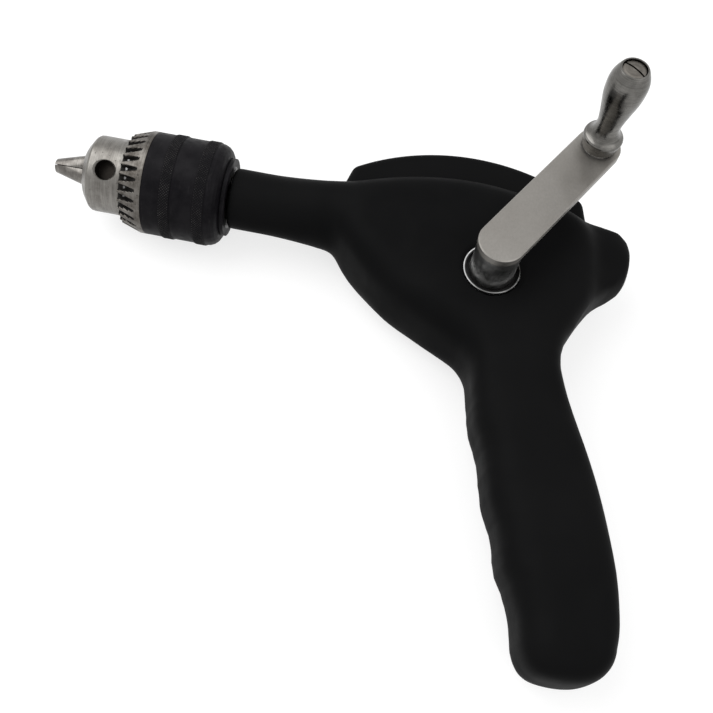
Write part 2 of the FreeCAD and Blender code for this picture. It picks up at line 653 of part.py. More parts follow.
def jaw_turned(shape, angle):
    """Turns a shape made in the XZ plane round the spindle axis to its angle from +Z towards +Y."""
    shape.rotate(V(0, 0, 0), X_AXIS, -angle)
    return shape


def jaw_axis_point(x):
    """Height of the jaw's own axis over the spindle axis at x."""
    slope = math.tan(math.radians(JAW_ANGLE))
    return JAW_TIP_R + (x - JAW_TIP_X) * slope - JAW_R / math.cos(math.radians(JAW_ANGLE))


def jaw_bore(radius, front_x, rear_x):
    start = V(front_x, 0, jaw_axis_point(front_x))
    end = V(rear_x, 0, jaw_axis_point(rear_x))
    return Part.makeCylinder(radius, (end - start).Length, start, end - start)


def jaw(angle):
    """One jaw: a slanted pin whose inner side is two flats that meet on the spindle axis."""
    body = jaw_bore(JAW_R, JAW_TIP_X - 4, JAW_REAR_X)
    reach = 30.0
    low = 2 * JAW_FACE_GAP
    spread = math.tan(math.radians(60.0)) * reach
    wedge = Part.Face(Part.makePolygon([V(JAW_TIP_X, 0, low), V(JAW_TIP_X, spread, low + reach),
                                        V(JAW_TIP_X, -spread, low + reach), V(JAW_TIP_X, 0, low)]))
    return jaw_turned(body.common(wedge.extrude(V(60, 0, 0))), angle)


def chuck_body():
    """The steel nose, its waist inside the sleeve, the jaw bores, the key holes and the rear seat."""
    body = revolve_x([(NOSE_X, 0), (NOSE_X, NOSE_FRONT_R), (NOSE_X + 0.8, NOSE_FRONT_R + 0.9),
                      (NOSE_CONE_X, NOSE_R - 0.5), (NOSE_CONE_X + 1.0, NOSE_R - 0.1), (NOSE_CONE_X + 2.2, NOSE_R),
                      (NOSE_BACK_X, NOSE_R), (NOSE_BACK_X, CHUCK_WAIST_R),
                      (BACK_RING_X[1], CHUCK_WAIST_R), (BACK_RING_X[1], 0)])
    cuts = [cylinder(CHUCK_BORE_R, NOSE_X - 1, NOSE_THREAD_X + 1),
            cylinder(SPINDLE_R, NOSE_THREAD_X, BACK_RING_X[1] + 1)]
    for angle in JAW_ANGLES:
        cuts.append(jaw_turned(jaw_bore(JAW_R + RUN_GAP, NOSE_X - 12, JAW_REAR_X + JAW_TRAVEL + 2), angle))
        cuts += key_hole(angle + KEY_HOLE_TURN)
    return body.cut(cuts)


def key_hole(angle):
    """A radial hole for the chuck key's pilot, with a broken edge."""
    hole = Part.makeCylinder(KEY_HOLE_R, KEY_HOLE_DEPTH + 1, V(KEY_HOLE_X, 0, NOSE_R - KEY_HOLE_DEPTH), Z_AXIS)
    edge = Part.makeCone(KEY_HOLE_R, KEY_HOLE_R + KEY_HOLE_CHAMFER + 0.6, KEY_HOLE_CHAMFER + 0.6,
                         V(KEY_HOLE_X, 0, NOSE_R - KEY_HOLE_CHAMFER), Z_AXIS)
    return [jaw_turned(hole, angle), jaw_turned(edge, angle)]


def gear_ring():
    """The toothed ring that the chuck key turns: thirty notches with round roots, cut from the front."""
    front, back = RING_GEAR_X
    blank = revolve_x([(front, RING_GEAR_IN_R), (front, SLEEVE_R - RING_GEAR_BEVEL),
                       (front + RING_GEAR_BEVEL, SLEEVE_R - 0.25), (front + RING_GEAR_BEVEL + 1.2, SLEEVE_R),
                       (back, SLEEVE_R), (back, NUT_R), (NUT_X[0], NUT_R), (NUT_X[0], RING_GEAR_IN_R)])
    floor_x = RING_GEAR_ROOT_X - NOTCH_ROOT_R
    low = RING_GEAR_IN_R - 1
    corners = [V(front - 1, -NOTCH_MOUTH, low), V(floor_x, -NOTCH_ROOT_R, low), V(RING_GEAR_ROOT_X, 0, low),
               V(floor_x, NOTCH_ROOT_R, low), V(front - 1, NOTCH_MOUTH, low)]
    outline = Part.Wire([Part.LineSegment(corners[0], corners[1]).toShape(),
                         Part.Arc(corners[1], corners[2], corners[3]).toShape(),
                         Part.LineSegment(corners[3], corners[4]).toShape(),
                         Part.LineSegment(corners[4], corners[0]).toShape()])
    notch = Part.Face(outline).extrude(V(0, 0, SLEEVE_R + 1 - low))
    notches = [jaw_turned(notch.copy(), 360.0 * i / RING_GEAR_TEETH) for i in range(RING_GEAR_TEETH)]
    return blank.cut(notches)


def chuck_sleeve():
    """The black sleeve, hollow over the nut and the jaws, with its two raised knurl bands."""
    front, back = SLEEVE_X
    inner = SLEEVE_R - SLEEVE_WALL
    points = [(front, NUT_R), (front, SLEEVE_R)]
    for start, end in KNURL_BANDS:
        points += [(start, SLEEVE_R), (start + KNURL_RISE, SLEEVE_R + KNURL_RISE),
                   (end - KNURL_RISE, SLEEVE_R + KNURL_RISE), (end, SLEEVE_R)]
    for i in range(1, SLEEVE_ROUND_STEPS + 1):
        turn = math.radians(90.0 * i / SLEEVE_ROUND_STEPS)
        points.append((SLEEVE_ROUND_X + (back - SLEEVE_ROUND_X) * math.sin(turn),
                       SLEEVE_BACK_R + (SLEEVE_R - SLEEVE_BACK_R) * math.cos(turn)))
    points += [(back, CHUCK_WAIST_R + RUN_GAP), (back - 2.2, CHUCK_WAIST_R + RUN_GAP),
               (back - 5.0, inner), (NUT_X[1] + 3, inner), (NUT_X[1] + 3, NUT_R)]
    return revolve_x(points)


def split_nut():
    """The threaded ring that drives the jaws, made in two halves, with a cone inside."""
    slope = math.tan(math.radians(JAW_ANGLE))
    start, end = NUT_X

    def clear_of_jaws(x):
        return JAW_TIP_R + (x - JAW_TIP_X) * slope + RUN_GAP
    nut = revolve_x([(start, clear_of_jaws(start)), (start, NUT_R), (end, NUT_R), (end, clear_of_jaws(end))])
    slit = Part.makeBox(end - start + 2, 4 * NUT_R, NUT_SPLIT, V(start - 1, -2 * NUT_R, -NUT_SPLIT / 2))
    return nut.cut(slit)


def spindle():
    return tube(SPINDLE_R, WIRE_R, NOSE_THREAD_X, SPINDLE_END_X).cut(
        tube(SPINDLE_R + 1, SPINDLE_R - CIRCLIP_DEPTH, CIRCLIP_X[0], CIRCLIP_X[1]))


def spindle_circlip():
    """An open ring in the spindle's groove, just ahead of the rear bush."""
    ring = tube(SPINDLE_R + CIRCLIP_RISE, SPINDLE_R - CIRCLIP_DEPTH, CIRCLIP_X[0], CIRCLIP_X[1])
    mouth = Part.makeBox(4, 4, 20, V(CIRCLIP_X[0] - 1, -2, 0))
    return ring.cut(mouth)


def idler_axle():
    x, y = idler_place()
    top = IDLER_HUB_Z + RUN_GAP + IDLER_CLIP_H
    parts = cylinder(IDLER_FLANGE_R, IDLER_FLANGE_Z[0], IDLER_FLANGE_Z[1], (x, y), "z").fuse(
        cylinder(IDLER_PIN_R, IDLER_FLANGE_Z[1] - 1, top + IDLER_PIN_END, (x, y), "z"))
    groove = tube(IDLER_PIN_R + 1, IDLER_PIN_R - CIRCLIP_DEPTH, top - IDLER_CLIP_H, top, (x, y), "z")
    return parts.cut([groove, cylinder(IDLER_SCREW_R, -BODY_HALF, IDLER_SCREW_Z, (x, y), "z")])


def idler_clip():
    x, y = idler_place()
    low = IDLER_HUB_Z + RUN_GAP
    ring = tube(IDLER_CLIP_R, IDLER_PIN_R - CIRCLIP_DEPTH, low, low + IDLER_CLIP_H, (x, y), "z")
    return ring.cut(Part.makeBox(10, 3, 2, V(x, y - 1.5, low - 1)))


def idler_screw():
    place = idler_place()
    screw = countersink(place).fuse(cylinder(IDLER_SCREW_R, -BODY_HALF, IDLER_SCREW_Z - 0.5, place, "z"))
    return screw.cut(hexagon(1.0, -BODY_HALF - 0.1, 1.1, place))


def build():
    """Every sub-part by its name."""
    crank_at = (0, CRANK_Y)
    parts = {
        "near_shell": shell(1),
        "far_shell": shell(-1),
        "top_cover": top_cover(),
        "shell_screws": shell_screws(),
        "crank_bearing_ring": tube(RING_R, RING_R - RING_WALL, RING_Z[0], RING_Z[1], crank_at, "z"),
        "crank_seal": tube(RING_R - RING_WALL, COLLAR_R + RUN_GAP, SEAL_Z[0], SEAL_Z[1], crank_at, "z"),
        "crank_bush": tube(CRANK_BUSH_R, CRANK_SHAFT_R + RUN_GAP, CRANK_BUSH_Z[0], CRANK_BUSH_Z[1], crank_at, "z"),
        "crank_foot_bush": tube(FOOT_BUSH_R, CRANK_FOOT_R + RUN_GAP, FOOT_BUSH_Z[0], FOOT_BUSH_Z[1], crank_at, "z"),
        "spindle_front_bush": tube(BUSH_R, SPINDLE_R + RUN_GAP, FRONT_BUSH[0], FRONT_BUSH[1]),
        "spindle_rear_bush": tube(BUSH_R, SPINDLE_R + RUN_GAP, REAR_BUSH[0], REAR_BUSH[1]),
        "idler_axle": idler_axle(),
        "idler_clip": idler_clip(),
        "idler_screw": idler_screw(),
        "crank_shaft": crank_shaft(),
        "crank_gear": crank_gear(),
        "gear_key": key_block(),
        "crank_arm": crank_arm(),
        "knob_washer": tube(WASHER_R, KNOB_SCREW_R, ARM_Z[1], ARM_Z[1] + WASHER_H, knob_place(), "z"),
        "knob_screw": knob_screw(),
        "knob": knob(),
        "idler_pinion": idler_pinion(),
        "idler_bevel": idler_bevel(),
        "spindle": spindle(),
        "spindle_bevel": spindle_bevel(),
        "bevel_grub_screw": grub_screw(),
        "spindle_circlip": spindle_circlip(),
        "chuck_body": chuck_body(),
        "chuck_back_ring": tube(BACK_RING_R, CHUCK_WAIST_R, BACK_RING_X[0], BACK_RING_X[1]),
        "gear_ring": gear_ring(),
        "chuck_sleeve": chuck_sleeve(),
        "split_nut": split_nut(),
    }
    for number, angle in enumerate(JAW_ANGLES, 1):
        parts["jaw_%d" % number] = jaw(angle)
    return parts


if __name__ == "__main__":
    os.makedirs("parts", exist_ok=True)
    for name, shape in build().items():
        shape.exportStep("parts/%s.step" % name)
        print("%-22s solids %d valid %s volume %.1f" % (name, len(shape.Solids), shape.isValid(), shape.Volume))
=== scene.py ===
"""Orthopedic hand drill: finishes, softened skins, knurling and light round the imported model.

Shapes are written in millimetres and scaled by MM. Camera, lamps and everything that a material
reads are in metres. +X runs from the chuck to the rear boss, the grip points to -Y, and the crank
is on the +Z side.
"""
import json
import math

import bmesh
import bpy
import numpy as np
from mathutils import Matrix, Vector, bvhtree, kdtree

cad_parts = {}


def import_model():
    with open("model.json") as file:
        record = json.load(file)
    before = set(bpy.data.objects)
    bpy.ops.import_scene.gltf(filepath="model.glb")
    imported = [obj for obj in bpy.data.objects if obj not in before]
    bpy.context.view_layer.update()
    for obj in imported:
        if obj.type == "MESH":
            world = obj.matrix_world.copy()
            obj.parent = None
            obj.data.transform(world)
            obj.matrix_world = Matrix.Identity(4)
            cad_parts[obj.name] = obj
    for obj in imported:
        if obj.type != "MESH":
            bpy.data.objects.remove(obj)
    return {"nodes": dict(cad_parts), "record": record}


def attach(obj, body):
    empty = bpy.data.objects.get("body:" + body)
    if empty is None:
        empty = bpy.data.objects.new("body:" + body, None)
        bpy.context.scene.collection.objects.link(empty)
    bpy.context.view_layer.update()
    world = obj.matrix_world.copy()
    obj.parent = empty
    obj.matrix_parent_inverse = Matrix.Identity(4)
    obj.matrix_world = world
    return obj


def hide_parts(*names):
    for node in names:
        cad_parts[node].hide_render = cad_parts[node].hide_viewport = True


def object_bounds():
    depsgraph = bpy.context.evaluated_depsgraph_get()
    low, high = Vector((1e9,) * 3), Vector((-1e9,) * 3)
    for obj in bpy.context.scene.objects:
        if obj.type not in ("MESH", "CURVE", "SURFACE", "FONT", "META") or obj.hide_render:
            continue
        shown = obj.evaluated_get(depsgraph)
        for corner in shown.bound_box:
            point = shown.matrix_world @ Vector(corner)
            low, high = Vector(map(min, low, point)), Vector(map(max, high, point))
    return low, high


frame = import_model()
cad_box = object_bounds()
NODES = frame["nodes"]
MM = 0.001

# Camera, in metres: solved from the photograph, which is square
CAMERA_PLACE = (-0.03372, -0.17835, 0.24678)
CAMERA_RIGHT = (0.9828, 0.1674, 0.0777)
CAMERA_UP = (-0.1843, 0.8716, 0.4543)
CAMERA_BACK = (0.0084, -0.4608, 0.8875)
CAMERA_LENS = 45.44
SENSOR = 36.0
CLIP_START = 0.01

# Light: (place, size, power) of each lamp, in metres and watts
WORLD_LIGHT = 0.7
KEY_LAMP = ((-0.5, 0.12, 0.65), 0.9, 4.5)
FILL_LAMP = ((0.5, -0.4, 0.6), 0.9, 1.5)
FLOOR_SIZE = 6.0
FLOOR_BELOW = 0.0001    # how far the floor lies under the drill
FLOOR_WHITE = 0.35
FLOOR_LIFT = 0.72       # glow that brings the seen floor to white

# Finishes, lengths in metres
BLACK_SHEEN = 0.012     # how much the black moulding mirrors
CORNER_SHADE_REACH = 0.0022    # a corner this narrow is painted darker, as shade
PIT_SCALE = 520.0
FINE_GRAIN = 1800.0
FINE_BUMP = 0.00002
EDGE = 0.0003           # width of a painted edge
NOSE_REAR_X = -0.1217   # the nose's rear edge: behind it all is painted dark, as shade
NOSE_FRONT_X = -0.1323  # where the front cone begins
HOLE_SHADE_R = (0.0113, 0.0122)      # inside this radius the key holes are painted dark, as shade
CRANK_AXIS = (0.0, -0.020, 0.0)
RIM_HIGHLIGHT_FROM = 0.00845      # the painted highlight on the rim of the ring round the crank shaft
RIM_HIGHLIGHT_TO = 0.00865
KNURL_TIP_FROM = 0.01727    # from the spindle's axis: where the points start to be rubbed
KNURL_TIP_TO = 0.01736

# Knurling round the chuck sleeve: two bands of diamond points
KNURL_BANDS = ((-107.6, -104.0), (-96.6, -92.9))
KNURL_R = 17.19         # the valleys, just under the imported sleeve's raised bands
KNURL_HEIGHT = 0.17
KNURL_ROUND = 120       # diamonds in one turn
KNURL_BASE_R = 16.9

# Toothed ring: a rim, then pointed teeth on a cone, with gaps that widen towards the front
RING_X = (-113.35, -121.5)
RING_RIM_X = -115.3
RING_R = 17.0
RING_CHAMFER = 0.25
RING_FRONT_R = 14.9
RING_IN_R = 13.05
RING_TEETH = 30
RING_ACROSS = 16        # mesh steps over one tooth
RING_ALONG = 9          # mesh steps from the rim to the front
GAP_DEPTH = 1.7
GAP_WIDTH = 0.84        # of the pitch, at the front
GAP_START = 0.35        # share of that width at the rim
GAP_RISE = 2.2          # how quickly a gap reaches its depth from the rim
GAP_FLOOR = 1.6         # how flat a gap's floor is
GAP_SHADE_DEPTH = 0.12        # a face deeper than this in a gap is painted dark, as shade

# Nose of the chuck: its front is shorter than the imported one, as photographed
NOSE_SHORT_FROM = -131.0
NOSE_SHORT = 0.62       # share of the stretch in front of that which is kept

# Screws of the shells: set deeper, under the softened skin
SCREWS_DEEPER = 0.9

# Skins of the two shells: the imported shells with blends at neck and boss, and softer edges
SKIN_VOXEL = 0.9
SKIN_EVEN_PASSES = 3    # over the whole mesh, against the steps of the voxels
SKIN_PASSES = 60        # over what isn't held
SKIN_SWELL = 0.3        # gives back what smoothing takes from the rounded edges
# Held in full within the first distance and free past the second
HOLD_CRANK = (12.0, 19.0)
HOLD_SCREWS = (6.0, 9.5)
HOLD_WIRE = (7.0, 9.5)
HOLD_WIRE_X = 30.0      # the rear bore is held from here on
HOLD_NECK_X = (-84.0, -64.0)
FAR_OFF = 20.0          # added to a distance to leave a point free
# Oval sections of the neck's blend: x, half height, half width
NECK_BLEND = ((-78.0, 9.6, 9.6), (-72.0, 10.15, 10.15), (-66.0, 10.2, 10.9), (-60.0, 10.3, 12.0),
              (-54.0, 10.5, 13.3), (-48.0, 10.7, 14.4), (-40.0, 10.7, 15.2), (-30.0, 10.0, 15.2))
NECK_BLEND_WALL = 2.6
NECK_BLEND_STEPS = 64
# Outline of the rear boss's blend, x and y
BOSS_BLEND = ((20.0, -30.0), (28.4, -31.5), (31.5, -24.5), (35.0, -17.5), (38.5, -13.2),
              (42.5, -10.6), (42.5, 10.6), (37.0, 10.7), (30.0, 11.4), (20.0, 12.0))
BOSS_BLEND_HALF = 9.0
# A point that faces another wall is inside the housing: it stays, and gives the gears some room
INNER_LIFT = 0.2        # where the look across starts, over the surface
INNER_REACH = 40.0      # how far it goes
INNER_HALF = 14.0       # only nearer to the parting plane than this
INNER_ROOM = 0.35
INNER_FROM = 9.5        # from the crank's axis, so that its bearing keeps its bore

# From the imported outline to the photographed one
# Taken off the grip's front and back: (distance below the spindle, taken off)
GRIP_FRONT = ((30.0, 0.0), (34.0, 1.2), (43.5, 1.9), (50.0, 1.5), (57.7, 0.3), (62.5, -0.2),
              (66.8, 0.4), (71.3, 2.0), (75.6, 2.5), (82.0, 1.5), (88.2, 2.0), (93.0, 3.1),
              (96.5, 3.5), (104.0, 2.2), (108.3, 2.6), (112.5, 4.1), (116.0, 4.1), (123.4, 2.8),
              (128.0, 2.4), (134.3, 3.0))
GRIP_BACK = ((31.0, 0.0), (36.0, 0.8), (41.0, 1.9), (46.0, 2.5), (55.0, 2.8), (95.0, 2.7),
             (105.0, 2.3), (125.0, 2.2), (131.0, 1.2), (135.0, 0.2))
# Where front and back lie: (x, distance below the spindle)
GRIP_FRONT_LINE = ((-2.0, 52.0), (19.0, 133.0))
GRIP_BACK_LINE = ((26.9, 38.2), (28.3, 47.0), (32.0, 57.0), (37.0, 69.0), (41.6, 81.5),
                  (45.4, 95.0), (47.9, 108.5), (48.7, 119.0))
GRIP_BELOW = (25.0, 35.0)           # the grip begins between these distances below the spindle
GRIP_THIN = 0.1                     # share taken off its thickness
GRIP_THIN_BELOW = (35.0, 60.0)
THROAT_EDGE = (-50.0, -8.0)         # a point on the lower front edge of the body
THROAT_OUT = (-0.645, -0.764)       # the direction out of that edge
THROAT_IN = 0.9
THROAT_DEEP = 20.0                  # fades over this depth
THROAT_FRONT_X = (-56.0, -46.0)
THROAT_REAR_X = (0.0, 8.0)
BOSS_LONGER = 0.8
BOSS_LONGER_X = (40.0, 44.0)
BOSS_LOWEST = 20.0


def camera():
    data = bpy.data.cameras.new("camera")
    data.lens = CAMERA_LENS
    data.sensor_width = SENSOR
    data.clip_start = CLIP_START
    view = bpy.data.objects.new("camera", data)
    rotation = Matrix((CAMERA_RIGHT, CAMERA_UP, CAMERA_BACK)).transposed()
    view.matrix_world = Matrix.Translation(CAMERA_PLACE) @ rotation.to_4x4()
    bpy.context.scene.collection.objects.link(view)
    bpy.context.scene.camera = view


class Finish:
    """A material with one Principled shader, whose textures lie in the object's own coordinates."""

    def __init__(self, name, color, roughness, metallic=0.0, **sockets):
        self.material = bpy.data.materials.new(name)
        self.material.use_nodes = True
        self.tree = self.material.node_tree
        self.shader = self.tree.nodes["Principled BSDF"]
        self.shader.inputs["Base Color"].default_value = (*color, 1.0)
        self.shader.inputs["Roughness"].default_value = roughness
        self.shader.inputs["Metallic"].default_value = metallic
        for socket, value in sockets.items():
            self.shader.inputs[socket.replace("_", " ")].default_value = value
        self.coords = self.tree.nodes.new("ShaderNodeTexCoord").outputs["Object"]
        self.height = None

    def link(self, source, target):
        self.tree.links.new(source, target)

    def stretched(self, scale):
        mapping = self.tree.nodes.new("ShaderNodeMapping")
        mapping.inputs["Scale"].default_value = scale
        self.link(self.coords, mapping.inputs["Vector"])
        return mapping.outputs["Vector"]

    def noise(self, scale, detail=4.0, roughness=0.55, vector=None):
        node = self.tree.nodes.new("ShaderNodeTexNoise")
        node.inputs["Scale"].default_value = scale
        node.inputs["Detail"].default_value = detail
        node.inputs["Roughness"].default_value = roughness
        self.link(vector or self.coords, node.inputs["Vector"])
        return node.outputs["Fac"]

    def spots(self, scale):
        node = self.tree.nodes.new("ShaderNodeTexVoronoi")
        node.inputs["Scale"].default_value = scale
        self.link(self.coords, node.inputs["Vector"])
        return node.outputs["Distance"]

    def ramp(self, value, stops):
        """stops: (position, colour or grey)."""
        node = self.tree.nodes.new("ShaderNodeValToRGB")
        ramp = node.color_ramp
        while len(ramp.elements) < len(stops):
            ramp.elements.new(1.0)
        for element, (position, color) in zip(ramp.elements, stops):
            element.position = position
            element.color = (*color, 1.0) if isinstance(color, tuple) else (color, color, color, 1.0)
        self.link(value, node.inputs["Fac"])
        return node.outputs["Color"]

    def mixed(self, kind, factor, first, second):
        node = self.tree.nodes.new("ShaderNodeMix")
        node.data_type = "RGBA"
        node.blend_type = kind
        factor_socket, first_socket, second_socket = node.inputs[0], node.inputs[6], node.inputs[7]
        for socket, value in ((factor_socket, factor), (first_socket, first), (second_socket, second)):
            if hasattr(value, "links"):
                self.link(value, socket)
            else:
                socket.default_value = value
        return node.outputs[2]

    def along(self):
        """Position along the spindle, in metres."""
        node = self.tree.nodes.new("ShaderNodeSeparateXYZ")
        self.link(self.coords, node.inputs[0])
        return node.outputs[0]

    def radius(self, axis, centre=(0.0, 0.0, 0.0)):
        """Distance in metres from a line along the x or z axis through centre."""
        shift = self.tree.nodes.new("ShaderNodeVectorMath")
        shift.operation = "SUBTRACT"
        shift.inputs[1].default_value = centre
        self.link(self.coords, shift.inputs[0])
        across = self.tree.nodes.new("ShaderNodeVectorMath")
        across.operation = "MULTIPLY"
        across.inputs[1].default_value = (0.0, 1.0, 1.0) if axis == "x" else (1.0, 1.0, 0.0)
        self.link(shift.outputs[0], across.inputs[0])
        length = self.tree.nodes.new("ShaderNodeVectorMath")
        length.operation = "LENGTH"
        self.link(across.outputs[0], length.inputs[0])
        return length.outputs["Value"]

    def between(self, value, low, high):
        """0 at low, 1 at high, clamped."""
        node = self.tree.nodes.new("ShaderNodeMapRange")
        node.inputs["From Min"].default_value = low
        node.inputs["From Max"].default_value = high
        self.link(value, node.inputs["Value"])
        return node.outputs["Result"]

    def painted_crevice_shade(self, reach, stops):
        """Grey from how open the surface is within reach: painted shade that darkens gaps and corners.
        """
        node = self.tree.nodes.new("ShaderNodeAmbientOcclusion")
        node.samples = 8
        node.inputs["Distance"].default_value = reach
        return self.ramp(node.outputs["AO"], stops)

    def color(self, output):
        self.link(output, self.shader.inputs["Base Color"])

    def roughness(self, output):
        self.link(output, self.shader.inputs["Roughness"])

    def bump(self, height, distance, strength=1.0):
        """Adds one layer of bump, distance in metres."""
        node = self.tree.nodes.new("ShaderNodeBump")
        node.inputs["Distance"].default_value = distance
        node.inputs["Strength"].default_value = strength
        self.link(height, node.inputs["Height"])
        if self.height:
            self.link(self.height, node.inputs["Normal"])
        self.height = node.outputs["Normal"]
        self.link(self.height, self.shader.inputs["Normal"])


def body_black():
    """Near-black moulding with a fine grain and a slightly polished surface."""
    finish = Finish("body_black", (0.0065, 0.0065, 0.0067), 0.5, Specular_IOR_Level=BLACK_SHEEN)
    finish.color(finish.ramp(finish.noise(30.0, 3.0), [(0.3, (0.0052, 0.0053, 0.0055)),
                                                      (0.7, (0.0072, 0.0072, 0.0074))]))
    finish.roughness(finish.ramp(finish.noise(90.0, 5.0), [(0.3, 0.40), (0.7, 0.54)]))
    finish.bump(finish.noise(2600.0, 3.0), 0.00003, 0.5)
    finish.bump(finish.noise(60.0, 2.0), 0.00012, 0.25)
    return finish.material


def arm_steel():
    """Warm grey plate steel, brushed flat, with soft darker clouds."""
    finish = Finish("arm_steel", (0.23, 0.22, 0.20), 0.42, 1.0)
    clouds = finish.ramp(finish.noise(45.0, 3.0), [(0.3, (0.262, 0.249, 0.230)),
                                                   (0.7, (0.310, 0.297, 0.278))])
    brushed = finish.noise(1.0, 4.0, 0.6, finish.stretched((1600.0, 1000.0, 900.0)))
    grain = finish.ramp(brushed, [(0.3, 0.90), (0.7, 1.0)])
    finish.color(finish.mixed("MULTIPLY", 1.0, clouds, grain))
    finish.roughness(finish.ramp(finish.noise(160.0, 5.0), [(0.3, 0.40), (0.7, 0.5)]))
    finish.bump(brushed, FINE_BUMP, 0.4)
    return finish.material


def turned(name, dark, light, roughness, axis="x", pits=0.0, grime=0.25):
    """Turned or ground steel: fine rings round its axis, mottling, small pits, and painted shade
    darkening its corners.
    """
    finish = Finish(name, light, roughness, 1.0)
    mottle = finish.ramp(finish.noise(200.0, 6.0, 0.7), [(0.36, dark), (0.60, light)])
    across = (5200.0, 90.0, 90.0) if axis == "x" else (90.0, 90.0, 5200.0)
    rings = finish.noise(1.0, 3.0, 0.7, finish.stretched(across))
    shade = finish.mixed("MULTIPLY", 1.0, mottle, finish.ramp(rings, [(0.32, 0.60), (0.62, 1.0)]))
    if pits:
        specks = finish.ramp(finish.spots(PIT_SCALE), [(0.06, 0.25), (0.16, 1.0)])
        shade = finish.mixed("MULTIPLY", 0.8, shade, specks)
    # painted shade: the colour darkens where nearby walls close the surface in
    gaps = finish.painted_crevice_shade(CORNER_SHADE_REACH, [(0.30, grime), (0.80, 1.0)])
    shade = finish.mixed("MULTIPLY", 1.0, shade, gaps)
    finish.color(shade)
    finish.roughness(finish.ramp(finish.noise(420.0, 4.0), [(0.3, roughness - 0.06),
                                                            (0.7, roughness + 0.1)]))
    finish.bump(rings, FINE_BUMP, 0.5)
    if pits:
        finish.bump(finish.ramp(finish.spots(PIT_SCALE), [(0.0, 0.0), (0.14, 1.0)]), pits, 0.5)
    return finish, shade


def turned_steel(name, dark, light, roughness, **details):
    return turned(name, dark, light, roughness, **details)[0].material


def bored_steel():
    """The chuck's nose: turned steel whose key holes, slots and rear are painted dark, as shade."""
    finish, shade = turned("chuck_steel", (0.17, 0.160, 0.147), (0.245, 0.235, 0.218), 0.34,
                           pits=0.00005, grime=0.2)
    along = finish.along()
    behind = finish.between(along, NOSE_REAR_X - EDGE, NOSE_REAR_X)
    inside = finish.between(finish.radius("x"), HOLE_SHADE_R[1], HOLE_SHADE_R[0])
    past_cone = finish.between(along, NOSE_FRONT_X - EDGE, NOSE_FRONT_X)
    hole_shade = finish.mixed("MULTIPLY", 1.0, inside, past_cone)
    # painted shade inside the key holes and slots
    shade = finish.mixed("MIX", hole_shade, shade, (0.018, 0.016, 0.014, 1.0))
    # painted shade behind the nose's rear edge
    finish.color(finish.mixed("MIX", behind, shade, (0.006, 0.0055, 0.005, 1.0)))
    return finish.material


def ring_painted_rim():
    """The ring at the crank: painted near-black, with a painted highlight on a narrow rim."""
    finish = Finish("bright_steel", (0.7, 0.7, 0.7), 0.22, 1.0)
    rim = finish.between(finish.radius("z", CRANK_AXIS), RIM_HIGHLIGHT_FROM, RIM_HIGHLIGHT_TO)
    fine = finish.ramp(finish.noise(900.0, 3.0), [(0.3, 0.55), (0.7, 0.8)])
    # painted highlight on the rim; the rest of the face is painted dark, as shade
    finish.color(finish.mixed("MIX", rim, (0.03, 0.03, 0.03, 1.0), fine))
    finish.roughness(finish.ramp(finish.noise(500.0, 3.0), [(0.3, 0.16), (0.7, 0.28)]))
    finish.bump(finish.noise(1500.0, 3.0), 0.00001, 0.3)
    return finish.material


def worn_sleeve():
    """Blackened steel: purple-black, with dull patches and fine light scratches."""
    finish = Finish("sleeve_black", (0.006, 0.0055, 0.0068), 0.42, Specular_IOR_Level=0.05)
    patches = finish.ramp(finish.noise(140.0, 6.0, 0.7), [(0.36, (0.0040, 0.0036, 0.0047)),
                                                         (0.62, (0.0105, 0.0098, 0.0112))])
    scratches = finish.noise(1.0, 3.0, 0.75, finish.stretched((900.0, 150.0, 150.0)))
    lines = finish.ramp(scratches, [(0.60, 0.0), (0.72, 0.35)])
    finish.color(finish.mixed("MIX", lines, patches, (0.030, 0.029, 0.029, 1.0)))
    finish.roughness(finish.ramp(finish.noise(500.0, 4.0), [(0.3, 0.36), (0.7, 0.55)]))
    finish.bump(finish.noise(FINE_GRAIN, 4.0), FINE_BUMP, 0.5)
    return finish.material


def knurl_steel():
    """Blackened knurling with its points rubbed bright here and there."""
    finish = Finish("knurl_black", (0.006, 0.0055, 0.0065), 0.4, Specular_IOR_Level=0.06)
    tips = finish.between(finish.radius("x"), KNURL_TIP_FROM, KNURL_TIP_TO)
    rubbed = finish.ramp(finish.noise(260.0, 5.0, 0.75), [(0.46, (0.012, 0.0115, 0.0125)),
                                                         (0.66, (0.11, 0.105, 0.10))])
    finish.color(finish.mixed("MIX", tips, (0.004, 0.0037, 0.0045, 1.0), rubbed))
    finish.roughness(finish.ramp(finish.noise(500.0, 4.0), [(0.3, 0.38), (0.7, 0.5)]))
    finish.bump(finish.noise(FINE_GRAIN, 4.0), FINE_BUMP, 0.5)
    return finish.material


def dark_metal(name, color, roughness, metallic=0.6, sheen=0.3):
    """A plain dark surface with soft lighter patches."""
    finish = Finish(name, color, roughness, metallic, Specular_IOR_Level=sheen)
    light = tuple(c * 1.5 for c in color)
    finish.color(finish.ramp(finish.noise(300.0, 5.0), [(0.35, color), (0.7, light)]))
    finish.roughness(finish.ramp(finish.noise(500.0, 4.0), [(0.3, roughness - 0.05),
                                                            (0.7, roughness + 0.1)]))
    finish.bump(finish.noise(FINE_GRAIN, 4.0), FINE_BUMP, 0.5)
    return finish.material


